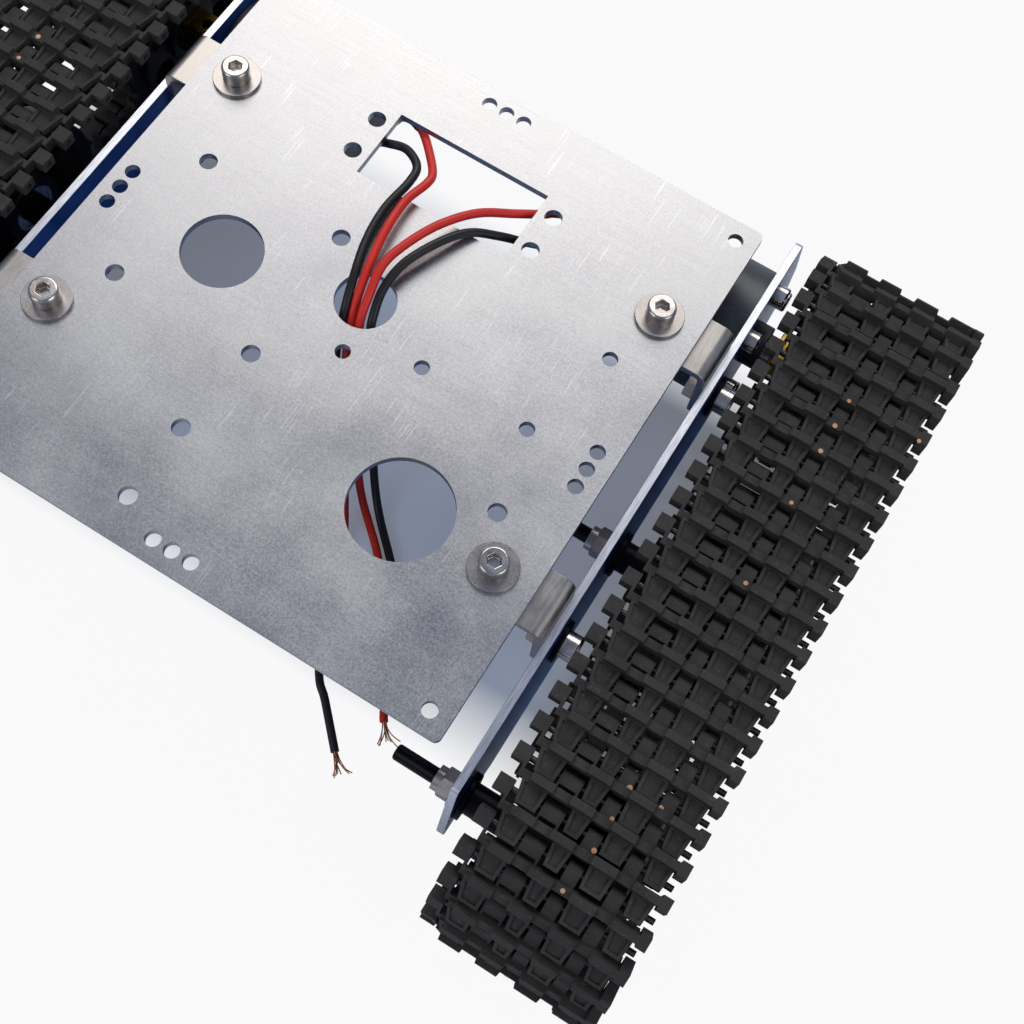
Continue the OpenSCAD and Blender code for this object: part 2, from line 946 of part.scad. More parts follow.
route_left_black = [
    [-start_x, near_y, terminal_z], [2 - start_x, near_y, terminal_z], [-30.6, 62.2, 38.2],
    [-26, 57, 47.6], [-21, 53, 55.8], [-15, 52.5, 58.6], [-9.4, 48.5, 60.8], [-8.2, 43, 61.6],
    [-8.9, 33.5, 62], [-7.6, 23.5, 62.2], [-4.6, 13.5, 61.6], [-2.6, 6.5, 58], [-1.5, 1, 50],
    [0.5, -4.5, 36], [3, -10.5, 20], [6.5, -18, 7.5], [11.5, -27.5, 1.4], [19, -41, 1.2],
    [30.1, -58.1, 1.2], [35.3, -63.1, 1.2], [44.8, -72.7, 1.2]
];
route_left_red = [
    [-start_x, far_y, terminal_z], [2 - start_x, far_y, terminal_z], [-29.5, 72.4, 38.4],
    [-22.5, 67.2, 48], [-15.4, 60.6, 55.8], [-10, 55, 58.6], [-5.2, 49, 60.8], [-4.4, 45, 61.8],
    [-5.6, 37, 63], [-4.6, 26, 63.4], [-2.3, 14.5, 62], [-0.7, 7.5, 58], [0.8, 2, 50],
    [3, -3, 38], [6, -9.2, 22], [10, -16, 8.5], [14.8, -23.8, 1.7], [21, -33.5, 1.2],
    [29, -46, 1.2]
];
end_left_black = [[44.9, -72.8, 1.2], [47.7, -73.9, 1.1], [49.6, -73.6, 0.9], [50.4, -74.2, 0.7]];
end_right_red_a = [[50.6, -60.3, 1.2], [50.4, -61.3, 1], [49.7, -63, 0.7]];
end_right_red_b = [[51.4, -59.8, 1.2], [52.2, -61.4, 1], [53.5, -63.9, 0.7]];
end_right_black = [[50.1, -47.6, 1.2], [51.6, -49.2, 1], [53, -50.6, 0.8]];
end_left_red = [[29.1, -46.1, 1.2], [30.1, -47.8, 1], [31.1, -49.5, 0.8]];

// Direction of a route at point i, from its neighbours, and a side direction that
// is carried along from ring to ring, so that the tube doesn't twist.
function heading(route, i) =
    unit(route[min(i + 1, len(route) - 1)] - route[max(i - 1, 0)]);
function square_to(v, d) = unit(v - (v * d) * d);
function side_at(route, i) =
    square_to(i == 0 ? [0.1, 0.2, 1] : side_at(route, i - 1), heading(route, i));

// A tube along a route: one ring of points at each route point.
module tube(route, r, sides) {
    rings = len(route);
    points = [for (i = [0 : rings - 1])
        let (
            d = heading(route, i),
            u = side_at(route, i),
            v = cross(d, u)
        )
        for (k = [0 : sides - 1])
            let (a = 360 * k / sides)
            route[i] + r * (u * cos(a) + v * sin(a))];
    faces = [
        for (i = [0 : rings - 2], k = [0 : sides - 1])
            let (
                a = i * sides + k,
                b = i * sides + (k + 1) % sides
            )
            each [[a, b + sides, b], [a, a + sides, b + sides]],
        [for (k = [0 : sides - 1]) k],
        [for (k = [sides - 1 : -1 : 0]) (rings - 1) * sides + k]
    ];
    polyhedron(points, faces);
}

module wire_right_red() {
    color("red")
        tube(route_right_red, wire_r, wire_sides);
}

module wire_right_black() {
    color("black")
        tube(route_right_black, wire_r, wire_sides);
}

module wire_left_red() {
    color("red")
        tube(route_left_red, wire_r, wire_sides);
}

module wire_left_black() {
    color("black")
        tube(route_left_black, wire_r, wire_sides);
}

module bare_wire_ends() {
    color("peru")
        for (end = [end_left_black, end_right_red_a, end_right_red_b, end_right_black, end_left_red])
            tube(end, strand_r, 6);
}

// ---------------------------------------------------------------- all pieces

top_plate();
side_plate(-1);  // side_plate_left
side_plate(1);  // side_plate_right
angle_brackets();
deck_screws();
deck_washers();
deck_nuts();
side_screws();
side_washers();
side_nuts();
gearbox(-1);  // gearbox_left
gearbox(1);  // gearbox_right
motor_can(-1);  // motor_can_left
motor_can(1);  // motor_can_right
motor_end_caps();
motor_terminals();
motor_face_screws();
output_shaft(-1);  // output_shaft_left
output_shaft(1);  // output_shaft_right
hex_coupling(-1);  // hex_coupling_left
hex_coupling(1);  // hex_coupling_right
coupling_set_screws(-1);  // coupling_set_screws_left
coupling_set_screws(1);  // coupling_set_screws_right
drive_sprocket(-1);  // drive_sprocket_left
drive_sprocket(1);  // drive_sprocket_right
sprocket_screw(-1);  // sprocket_screw_left
sprocket_screw(1);  // sprocket_screw_right
free_wheels(-1, axle_ys[0]);  // idler_wheel_left
free_wheels(1, axle_ys[0]);  // idler_wheel_right
free_wheels(-1, axle_ys[1]);  // road_wheel_left
free_wheels(1, axle_ys[1]);  // road_wheel_right
outer_bearings(-1, axle_ys[0]);  // idler_bearings_left
outer_bearings(1, axle_ys[0]);  // idler_bearings_right
outer_bearings(-1, axle_ys[1]);  // road_bearings_left
outer_bearings(1, axle_ys[1]);  // road_bearings_right
bearing_inner_rings();
axle_bolts();
axle_spacers();
axle_collars();
axle_inner_washers();
axle_nuts();
track_links(-1);  // track_links_left
track_links(1);  // track_links_right
track_pins(-1);  // track_pins_left
track_pins(1);  // track_pins_right
wire_right_red();
wire_right_black();
wire_left_red();
wire_left_black();
bare_wire_ends();
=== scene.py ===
import json
import math
import random

import bmesh
import bpy
from mathutils import Euler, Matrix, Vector
from mathutils.bvhtree import BVHTree


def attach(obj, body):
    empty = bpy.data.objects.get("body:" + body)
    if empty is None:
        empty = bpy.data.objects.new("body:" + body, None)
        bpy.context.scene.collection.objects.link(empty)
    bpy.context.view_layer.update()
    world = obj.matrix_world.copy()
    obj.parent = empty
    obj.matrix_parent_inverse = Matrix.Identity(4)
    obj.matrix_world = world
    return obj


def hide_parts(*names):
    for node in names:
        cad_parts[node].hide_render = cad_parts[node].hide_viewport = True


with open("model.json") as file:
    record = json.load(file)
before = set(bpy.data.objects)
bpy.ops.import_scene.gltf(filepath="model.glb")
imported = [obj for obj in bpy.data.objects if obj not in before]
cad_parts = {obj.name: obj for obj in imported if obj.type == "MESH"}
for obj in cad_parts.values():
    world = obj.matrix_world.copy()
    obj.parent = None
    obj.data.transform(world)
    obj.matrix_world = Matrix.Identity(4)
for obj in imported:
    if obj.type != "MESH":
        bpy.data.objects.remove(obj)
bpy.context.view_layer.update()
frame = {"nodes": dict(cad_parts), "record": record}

MM = 0.001
MICRON = 0.000001

# ------------------------------------------------------------ camera

FRAME_W = 1024
FRAME_H = 1024
LONG_SIDE = max(FRAME_W, FRAME_H)
SENSOR_WIDTH = 36.0
LENS = 51.154
SHIFT_X = 0.0
SHIFT_Y = 0.0
CAMERA_PLACE = Vector((0.10235, -0.12543, 0.36185))
CAMERA_AIM = Euler([math.radians(a) for a in (21.1845, -3.579, 31.5069)], "XYZ")

# Points in the photograph's frame, x to the right and y down.
IMAGE_POINTS = {
    "right_most": (984, 334),
    "deck_right_rear_corner": (765, 236),
    "deck_front_right_corner": (438, 744),
    "deck_screw_rear_left": (235, 66),
    "deck_screw_rear_right": (663, 306),
    "deck_screw_front_left": (43, 288),
    "deck_screw_front_right": (494, 560),
    "large_hole": (400, 509),
    "left_hole": (222, 251),
    "side_plate_rear_tip": (796, 242),
    "side_plate_front_tip": (443, 835),
    "front_axle_bolt_tip": (396, 750),
    "black_wire_end": (335, 752),
    "red_wire_end": (384, 722),
    "gate_spot_rear": (849, 401),
    "gate_spot_front": (612, 819),
    "outer_gate_rear": (919, 441),
    "outer_gate_front": (661, 808),
}


def make_camera():
    data = bpy.data.cameras.new("photo_camera")
    data.sensor_fit = "AUTO"
    data.sensor_width = SENSOR_WIDTH
    data.lens = LENS
    data.shift_x = SHIFT_X
    data.shift_y = SHIFT_Y
    data.clip_start = 0.01
    data.clip_end = 20
    camera = bpy.data.objects.new("photo_camera", data)
    camera.location = CAMERA_PLACE
    camera.rotation_euler = CAMERA_AIM
    bpy.context.scene.collection.objects.link(camera)
    bpy.context.scene.camera = camera


make_camera()
AIM_MATRIX = CAMERA_AIM.to_matrix()


def ray_through(x, y):
    """Direction from the camera through an image point."""
    direction = Vector((
        x - FRAME_W / 2 + SHIFT_X * LONG_SIDE,
        FRAME_H / 2 - y + SHIFT_Y * LONG_SIDE,
        -LONG_SIDE * LENS / SENSOR_WIDTH,
    ))
    return (AIM_MATRIX @ direction).normalized()


# ------------------------------------------------------------ finishes

# Noise keeps mostly between these two values.
NOISE = (0.3, 0.7)


def from_hex(code):
    """sRGB hex to a linear colour with full alpha."""
    channels = [int(code[i:i + 2], 16) / 255 for i in (0, 2, 4)]
    linear = [c / 12.92 if c <= 0.04045 else ((c + 0.055) / 1.055) ** 2.4 for c in channels]
    return (*linear, 1.0)


def add(tree, kind, inputs=(), stops=(), **settings):
    """Adds one node with its settings and links. Its inputs go by place or by name, and
    each takes a value, a socket, or a node, which stands for its first output. Stops are
    the places and colours of a ramp."""
    node = tree.nodes.new("ShaderNode" + kind)
    for name, value in settings.items():
        setattr(node, name, value)
    for name, value in inputs.items() if isinstance(inputs, dict) else enumerate(inputs):
        if isinstance(value, bpy.types.Node):
            value = value.outputs[0]
        if isinstance(value, bpy.types.NodeSocket):
            tree.links.new(value, node.inputs[name])
        else:
            node.inputs[name].default_value = value
    for i, (place, code) in enumerate(stops):
        node.color_ramp.elements[i].position = place
        node.color_ramp.elements[i].color = from_hex(code)
    return node


def new_finish(name):
    finish = bpy.data.materials.new(name)
    finish.use_nodes = True
    finish.node_tree.nodes.clear()
    return finish, finish.node_tree


def shade(tree, sockets, height, relief, strength):
    """The one shader of a finish, whose fixed values sit on its own sockets, with a
    relief in metres."""
    normal = add(tree, "Bump", {"Height": height, "Distance": relief, "Strength": strength})
    add(tree, "OutputMaterial", [add(tree, "BsdfPrincipled", {**sockets, "Normal": normal})])


def pattern(tree, size, detail=2.0, rough=0.5, stretch=(1, 1, 1), turn=0.0, shift=(0, 0, 0)):
    """Noise in object coordinates whose features are about size metres across, stretched
    and turned round Z."""
    plain = add(tree, "TexCoord").outputs["Object"]
    placed = add(tree, "Mapping", [plain, shift, (0, 0, math.radians(turn)), stretch])
    return add(tree, "TexNoise", {
        "Vector": placed, "Scale": 1 / size, "Detail": detail, "Roughness": rough})


def facing(tree, axis):
    """How far the surface faces along an axis of the part, from -1 to 1."""
    normal = add(tree, "TexCoord").outputs["Normal"]
    return add(tree, "SeparateXYZ", [normal]).outputs[axis]


def hairlines(tree, turn, size, threshold):
    """Long thin scratches in one direction: 1 on a scratch, 0 off it."""
    lines = pattern(tree, size, 1.5, stretch=(1, 0.02, 1), turn=turn)
    patches = pattern(tree, 14 * MM, shift=(turn, 0, 0))
    keen = add(tree, "MapRange", [lines, threshold, threshold + 0.05])
    some = add(tree, "MapRange", [patches, 0.56, 0.66])
    return add(tree, "Math", [keen, some], operation="MULTIPLY")


def film_blue(tree):
    """Blue protective film: its colour with small pale bubbles, and where they are."""
    plain = add(tree, "TexCoord").outputs["Object"]
    cells = add(tree, "TexVoronoi", {"Vector": plain, "Scale": 1 / (5 * MM)})
    bubble = add(tree, "MapRange", [cells, 0.02, 0.12, 1, 0])
    faint = add(tree, "Math", [bubble, 0.25], operation="MULTIPLY")
    wrinkles = pattern(tree, 8 * MM)
    blue = add(tree, "ValToRGB", [wrinkles], [(0.3, "0B3A7C"), (0.7, "155BAE")])
    colour = add(tree, "Mix", {0: faint, 6: blue, 7: from_hex("5C93CF")}, data_type="RGBA")
    return colour.outputs[2], bubble


def mill_aluminium(name, pale, dark):
    """Rolled aluminium sheet, left as it comes from the mill and handled: a grainy
    satin grey with smudges and hairline scratches that catch the light. Its
    underside still has the blue protective film. The bluish floor under it is a painted reflection."""
    finish, tree = new_finish(name)
    specks = pattern(tree, 0.45 * MM, 3.0, 0.6)
    smudges = pattern(tree, 30 * MM, 3.0, 0.55, shift=(0.3, 0, 0))
    rolling = pattern(tree, 0.5 * MM, stretch=(0.03, 1, 1), turn=90)
    tone = smudges
    for source, swing in ((specks, 0.22), (rolling, 0.05)):
        change = add(tree, "MapRange", [source, *NOISE, -swing, swing])
        tone = add(tree, "Math", [tone, change], operation="ADD")
    scratch = hairlines(tree, 28, 0.5 * MM, 0.63)
    for turn, size, threshold in ((-41, 0.6 * MM, 0.65), (75, 0.4 * MM, 0.66)):
        others = hairlines(tree, turn, size, threshold)
        scratch = add(tree, "Math", [scratch, others], operation="MAXIMUM")
    sheet = add(tree, "ValToRGB", [tone], [(0.2, dark), (0.8, pale)])
    bright = add(tree, "Math", [scratch, 0.45], operation="MULTIPLY")
    bare = add(tree, "Mix", {0: bright, 6: sheet, 7: from_hex("F4F3F0")}, data_type="RGBA")
    film = add(tree, "MapRange", [facing(tree, "Z"), -0.6, -0.8])
    blue, bubble = film_blue(tree)
    colour = add(tree, "Mix", {0: film, 6: bare.outputs[2], 7: blue}, data_type="RGBA")
    smudged = add(tree, "MapRange", [smudges, *NOISE, 0.33, 0.45])
    speckled = add(tree, "MapRange", [specks, *NOISE, -0.05, 0.05])
    height = add(tree, "Math", [specks, scratch], operation="SUBTRACT")
    shade(tree, {
        "Base Color": colour.outputs[2],
        "Metallic": add(tree, "MapRange", [film, 0, 1, 1, 0.2]),
        "Roughness": add(tree, "Math", [smudged, speckled], operation="ADD"),
    }, height, 12 * MICRON, 0.35)
    return finish


def filmed_aluminium(name):
    """Aluminium plate still under its blue protective film, with bare cut edges:
    glossy blue faces with small bubbles, and a bright saw-cut rim."""
    finish, tree = new_finish(name)
    sideways = add(tree, "Math", [facing(tree, "X")], operation="ABSOLUTE")
    film = add(tree, "MapRange", [sideways, 0.6, 0.8])
    blue, bubble = film_blue(tree)
    saw = pattern(tree, 0.3 * MM, stretch=(1, 0.08, 1))
    edge = add(tree, "ValToRGB", [saw], [(0.3, "C9CAD2"), (0.7, "F1F1F6")])
    colour = add(tree, "Mix", {0: film, 6: edge, 7: blue}, data_type="RGBA")
    raised = add(tree, "Math", [bubble, film], operation="MULTIPLY")
    height = add(tree, "Math", [raised, saw], operation="ADD")
    shade(tree, {
        "Base Color": colour.outputs[2],
        "Metallic": add(tree, "MapRange", [film, 0, 1, 1, 0.25]),
        "Roughness": add(tree, "MapRange", [film, 0, 1, 0.42, 0.3]),
        "Coat Weight": 0.35, "Coat Roughness": 0.18,
    }, height, 20 * MICRON, 0.3)
    return finish


def metal(name, pale, dark, rough, grain, stretch=(1, 1, 1)):
    """A plain metal part: two close tones in a fine grain, satin to polished."""
    finish, tree = new_finish(name)
    fine = pattern(tree, grain, 3.0, 0.6, stretch)
    tone = add(tree, "Mix", {0: 0.6, 2: pattern(tree, 6 * MM), 3: fine})
    shade(tree, {
        "Base Color": add(tree, "ValToRGB", [tone], [(0.3, dark), (0.7, pale)]),
        "Metallic": 1.0,
        "Roughness": add(tree, "MapRange", [tone, *NOISE, rough - 0.06, rough + 0.08]),
    }, fine, 8 * MICRON, 0.3)
    return finish


def headed_steel(name, pale, dark, rough):
    """Cold headed or turned hardware: fine tool marks show as streaks of light."""
    finish, tree = new_finish(name)
    fine = pattern(tree, 0.35 * MM)
    broad = pattern(tree, 3 * MM)
    shade(tree, {
        "Base Color": add(tree, "ValToRGB", [broad], [(0.3, dark), (0.7, pale)]),
        "Metallic": 1.0,
        "Roughness": add(tree, "MapRange", [fine, *NOISE, rough - 0.05, rough + 0.07]),
    }, fine, 5 * MICRON, 0.25)
    return finish


def moulded(name, pale, dark, rough, grain=0.25 * MM, dust=0.0, sheen=0.5):
    """Injection moulded plastic: spark-eroded grain, scuffed a little paler on the high
    spots, with some dust in it."""
    finish, tree = new_finish(name)
    fine = pattern(tree, grain, 3.0, 0.6)
    broad = pattern(tree, 7 * MM, 3.0)
    tone = add(tree, "Mix", {0: 0.45, 2: broad, 3: fine})
    colour = add(tree, "ValToRGB", [tone], [(0.35, dark), (0.65, pale)])
    if dust:
        flecks = add(tree, "MapRange", [pattern(tree, 0.8 * MM, 1.0, turn=20), 0.66, 0.72, 0, dust])
        dusty = add(tree, "Mix", {0: flecks, 6: colour, 7: from_hex("8C8784")}, data_type="RGBA")
        colour = dusty.outputs[2]
    shade(tree, {
        "Base Color": colour,
        "Roughness": add(tree, "MapRange", [broad, *NOISE, rough - 0.08, rough + 0.1]),
        "IOR": 1.5, "Specular IOR Level": sheen,
    }, fine, 18 * MICRON, 0.45)
    return finish


def insulation(name, pale, dark):
    """Soft silicone wire insulation: even colour, a waxy sheen, slightly dusty."""
    finish, tree = new_finish(name)
    fine = pattern(tree, 0.5 * MM)
    broad = pattern(tree, 9 * MM)
    shade(tree, {
        "Base Color": add(tree, "ValToRGB", [broad], [(0.3, dark), (0.7, pale)]),
        "Roughness": add(tree, "MapRange", [fine, *NOISE, 0.36, 0.5]),
        "IOR": 1.43, "Coat Weight": 0.12, "Coat Roughness": 0.35,
    }, fine, 10 * MICRON, 0.25)
    return finish


FINISHES = {
    "deck": mill_aluminium("mill_finish_aluminium", "D6D4D1", "A9A7A9"),
    "filmed": filmed_aluminium("filmed_aluminium_plate"),
    # Nickel plated bent strip: warm satin with a draw grain
    "nickel": metal("satin_nickel_strip", "CFC8C0", "A79F98", 0.34, 0.3 * MM, (1, 0.1, 1)),
    # Zinc plated pressed washers and nuts: warm pale grey, cloudy
    "zinc": metal("zinc_plated_steel", "CDC5BF", "9C938E", 0.3, 0.35 * MM),
    # Cold headed stainless screws, bright with a soft edge
    "stainless": headed_steel("headed_stainless_steel", "E6DFD8", "B5ABA3", 0.2),
    # Black oxide hardware: near black with a dull metallic glint
    "black_oxide": metal("black_oxide_steel", "2A2A2E", "121214", 0.38, 0.3 * MM),
    # Drawn gearbox case, phosphated: dull grey
    "gearbox": metal("phosphated_gearbox_case", "6E6F71", "4B4C4E", 0.46, 0.25 * MM, (0.15, 1, 1)),
    # Drawn motor can, plated: mid grey with a draw grain along it
    "can": metal("plated_motor_can", "A2A1A0", "7E7C7B", 0.36, 0.3 * MM, (0.15, 1, 1)),
    # Drawn wire of the track pins: a darker, duller steel than bare wire
    "pin": metal("dark_dull_steel_wire", "6E6C6B", "414040", 0.4, 0.3 * MM, (0.1, 1, 1)),
    # Brass bar, turned and milled: yellow glints between the black parts
    "brass": metal("turned_brass_bar", "D9B05C", "A87A2C", 0.28, 0.3 * MM),
    # Tinned terminals: pale and smooth
    "tinned": metal("tinned_terminal", "D8D8D4", "A5A5A2", 0.3, 0.3 * MM),
    # Drawn copper strands: warm orange glints at the cut wire ends
    "copper": metal("bare_copper_strand", "D79A73", "8F5330", 0.36, 0.2 * MM),
    # Nylon wheels and motor caps: even satin black
    "wheel": moulded("moulded_nylon_wheel", "2B2B2C", "19191A", 0.48),
    "cap": moulded("moulded_end_cap", "262627", "151516", 0.42),
    # Track links: matt charcoal with dust flecks
    "track": moulded("moulded_track_link", "494643", "353331", 0.72, dust=0.12, sheen=0.22),
    "red_wire": insulation("red_silicone_insulation", "F4392B", "DE2A1D"),
    "black_wire": insulation("black_silicone_insulation", "232324", "151516"),
    # The cut gates of the mouldings: a tan resin spot
    "gate": moulded("cut_gate_spot", "F2C9A4", "C98550", 0.35, 0.2 * MM),
}

NODE_FINISHES = {
    "deck": ["top_plate"],
    "filmed": ["side_plate_left", "side_plate_right"],
    "nickel": ["angle_brackets"],
    "zinc": ["deck_washers", "deck_nuts", "side_nuts", "axle_inner_washers", "axle_nuts"],
    "stainless": ["deck_screws", "side_screws", "motor_face_screws", "output_shaft_left",
                  "output_shaft_right", "idler_bearings_left", "idler_bearings_right",
                  "road_bearings_left", "road_bearings_right", "bearing_inner_rings"],
    "black_oxide": ["side_washers", "coupling_set_screws_left", "coupling_set_screws_right",
                    "sprocket_screw_left", "sprocket_screw_right", "axle_bolts",
                    "axle_spacers", "axle_collars"],
    "gearbox": ["gearbox_left", "gearbox_right"],
    "can": ["motor_can_left", "motor_can_right"],
    "pin": ["track_pins_left", "track_pins_right"],
    "brass": ["hex_coupling_left", "hex_coupling_right"],
    "tinned": ["motor_terminals"],
    "copper": ["bare_wire_ends"],
    "wheel": ["drive_sprocket_left", "drive_sprocket_right", "idler_wheel_left",
              "idler_wheel_right", "road_wheel_left", "road_wheel_right"],
    "cap": ["motor_end_caps"],
    "track": ["track_links_left", "track_links_right"],
    "red_wire": ["wire_right_red", "wire_left_red"],
    "black_wire": ["wire_right_black", "wire_left_black"],
}


def give(piece, finish):
    piece.data.materials.clear()
    piece.data.materials.append(FINISHES[finish])


# ------------------------------------------------------------ making pieces


def deselect_all():
    if bpy.context.object and bpy.context.object.mode != "OBJECT":
        bpy.ops.object.mode_set(mode="OBJECT")
    bpy.ops.object.select_all(action="DESELECT")


def only(piece):
    deselect_all()
    piece.select_set(True)
    bpy.context.view_layer.objects.active = piece


def from_mesh_code(name, parts):
    """One piece out of any number of closed parts, each its points and its faces."""
    points, faces = [], []
    for part_points, part_faces in parts:
        faces += [tuple(len(points) + i for i in face) for face in part_faces]
        points += [tuple(p) for p in part_points]
    mesh = bpy.data.meshes.new(name)
    mesh.from_pydata(points, [], faces)
    mesh.update()
    piece = bpy.data.objects.new(name, mesh)
    bpy.context.scene.collection.objects.link(piece)
    return piece


def apply_modifiers(piece):
    only(piece)
    for modifier in list(piece.modifiers):
        bpy.ops.object.modifier_apply(modifier=modifier.name)


def smooth(piece, angle):
    only(piece)
    bpy.ops.object.shade_smooth_by_angle(angle=math.radians(angle))


# ------------------------------------------------------------ the solids, with their edges eased

# How far each piece's edges are broken, in millimetres: punched, turned or moulded.
EASED_EDGES = {
    "top_plate": 0.18, "side_plate_left": 0.18, "side_plate_right": 0.18, "angle_brackets": 0.2,
    "deck_washers": 0.12, "deck_screws": 0.25, "side_screws": 0.25,
    "gearbox_left": 0.5, "gearbox_right": 0.5, "motor_can_left": 0.6, "motor_can_right": 0.6,
    "motor_end_caps": 0.4, "drive_sprocket_left": 0.25, "drive_sprocket_right": 0.25,
    "idler_wheel_left": 0.3, "idler_wheel_right": 0.3, "road_wheel_left": 0.3,
    "road_wheel_right": 0.3, "axle_bolts": 0.25, "axle_spacers": 0.15, "axle_collars": 0.15,
    "track_links_left": 0.14, "track_links_right": 0.14,
}
FLAT_ENOUGH = math.radians(0.6)
SHARP_FROM = math.radians(28)


def ease_edges(node, width):
    """A copy of a solid with its flat faces joined up and its sharp edges broken."""
    source = frame["nodes"][node]
    mesh = bmesh.new()
    mesh.from_mesh(source.data)
    bmesh.ops.remove_doubles(mesh, verts=mesh.verts, dist=2 * MICRON)
    bmesh.ops.dissolve_limit(mesh, angle_limit=FLAT_ENOUGH, verts=mesh.verts, edges=mesh.edges)
    data = bpy.data.meshes.new(node + "_eased")
    mesh.to_mesh(data)
    mesh.free()
    piece = bpy.data.objects.new(node + "_eased", data)
    bpy.context.scene.collection.objects.link(piece)
    bevel = piece.modifiers.new("broken_edge", "BEVEL")
    bevel.width = width * MM
    bevel.segments = 1 if node.startswith("track") else 2
    bevel.limit_method = "ANGLE"
    bevel.angle_limit = SHARP_FROM
    bevel.use_clamp_overlap = True
    bevel.harden_normals = True
    smooth(piece, 32)
    apply_modifiers(piece)
    body = next(b for b, nodes in frame["record"]["behaviour"]["bodies"].items() if node in nodes)
    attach(piece, body)
    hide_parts(node)
    return piece


eased = {}
for finish_name, node_names in NODE_FINISHES.items():
    for node_name in node_names:
        if node_name in EASED_EDGES:
            eased[node_name] = ease_edges(node_name, EASED_EDGES[node_name])
            give(eased[node_name], finish_name)
        give(frame["nodes"][node_name], finish_name)

# ------------------------------------------------------------ wires

WIRE_D = 2.2 * MM
# The same route points as the wires' solids, in millimetres.
ROUTES = {
    "wire_right_red": [
        [35, 73.8, 32.23], [33, 73.8, 32.23], [31, 71.5, 38], [27.4, 65.8, 47.4],
        [24, 60, 54], [22, 57, 55.8], [16.8, 52, 58], [10.2, 45, 61.6],
        [5.1, 36, 64], [1.5, 26.5, 64.6], [0.1, 19, 64.4], [1.2, 11.5, 62.4], [2.2, 6, 58.8],
        [3.8, 2, 50], [5.5, -1.5, 38], [7.4, -5.2, 23], [10.6, -10.3, 9.5], [13.6, -13.4, 2.8],
        [17.6, -16.9, 1.2], [25.3, -23.9, 1.2], [34.5, -34.5, 1.2], [43, -47, 1.2],
        [49.6, -58, 1.2], [50.9, -59.9, 1.2]],
    "wire_right_black": [
        [35, 64.8, 32.23], [33, 64.8, 32.23], [30.4, 61.6, 38], [25.6, 54.8, 46.8],
        [21.2, 48.5, 54], [17, 44.5, 58], [11.5, 39.5, 61.4], [7.5, 32.5, 63.2],
        [3.8, 23, 63.6], [3, 15, 62.4], [4.3, 8.5, 60], [5.3, 5.5, 56], [7, 2.5, 46],
        [9, -0.5, 32], [11.5, -4.6, 17], [15, -9.4, 5.5], [20.2, -15, 1.3], [28.1, -22.5, 1.2],
        [37, -31.5, 1.2], [50, -47.5, 1.2]],
    "wire_left_black": [
        [-35, 64.8, 32.23], [-33, 64.8, 32.23], [-30.6, 62.2, 38.2], [-26, 57, 47.6],
        [-21, 53, 55.8], [-15, 52.5, 58.6], [-9.4, 48.5, 60.8],
        [-8.2, 43, 61.6], [-8.9, 33.5, 62], [-7.6, 23.5, 62.2], [-4.6, 13.5, 61.6],
        [-2.6, 6.5, 58], [-1.5, 1, 50], [0.5, -4.5, 36], [3, -10.5, 20], [6.5, -18, 7.5],
        [11.5, -27.5, 1.4], [19, -41, 1.2], [30.1, -58.1, 1.2], [35.3, -63.1, 1.2],
        [44.8, -72.7, 1.2]],
    "wire_left_red": [
        [-35, 73.8, 32.23], [-33, 73.8, 32.23], [-29.5, 72.4, 38.4], [-22.5, 67.2, 48],
        [-15.4, 60.6, 55.8], [-10, 55, 58.6], [-5.2, 49, 60.8],
        [-4.4, 45, 61.8], [-5.6, 37, 63], [-4.6, 26, 63.4], [-2.3, 14.5, 62], [-0.7, 7.5, 58],
        [0.8, 2, 50], [3, -3, 38], [6, -9.2, 22], [10, -16, 8.5], [14.8, -23.8, 1.7],
        [21, -33.5, 1.2], [29, -46, 1.2]],
}
STEPS_A_STRETCH = 6
WIRE_SIDES = 16


def smooth_route(points, steps=STEPS_A_STRETCH):
    """A smooth curve through the route's points, never below the first layer on the ground."""
    ends = [2 * points[0] - points[1], *points, 2 * points[-1] - points[-2]]
    line = []
    for i in range(1, len(ends) - 2):
        before, start, end, after = ends[i - 1:i + 3]
        for k in range(steps):
            t = k / steps
            line.append(0.5 * (2 * start + (end - before) * t
                               + (2 * before - 5 * start + 4 * end - after) * t * t
                               + (3 * start - before - 3 * end + after) * t ** 3))
    line.append(points[-1].copy())
    floor = WIRE_D / 2
    return [Vector((p.x, p.y, max(p.z, floor))) for p in line]


def tube(line, radius_at, sides=WIRE_SIDES):
    """A closed tube along a line of points, with a radius for each point. The first
    side only has to lie off the line."""
    rings, faces = [], []
    side = Vector((0.1, 0.2, 1))
    for i, centre in enumerate(line):
        along = (line[min(i + 1, len(line) - 1)] - line[max(i - 1, 0)]).normalized()
        side = (side - side.dot(along) * along).normalized()
        other = along.cross(side)
        for k in range(sides):
            angle = 2 * math.pi * k / sides
            rings.append(centre + radius_at(i) * (side * math.cos(angle) + other * math.sin(angle)))
    for i in range(len(line) - 1):
        for k in range(sides):
            a, b = i * sides + k, i * sides + (k + 1) % sides
            faces.append((a, b, b + sides, a + sides))
    faces.append(tuple(range(sides - 1, -1, -1)))
    last = (len(line) - 1) * sides
    faces.append(tuple(last + k for k in range(sides)))
    return rings, faces


def line_length(line):
    return sum((b - a).length for a, b in zip(line, line[1:]))


# A tuft of bare strands: how many, and how far they reach out of the insulation. A real
# strand is finer, and is drawn this coarse to show.
STRANDS = 9
STRAND_R = 0.16 * MM
STRAND_SIDES = 6
STRAND_STEPS = 6
STRAND_REACH = 7 * MM
STRAND_LIFT = 0.35 * MM
STRAND_WAVE = 0.25 * MM
TUFT_R = 0.55 * MM


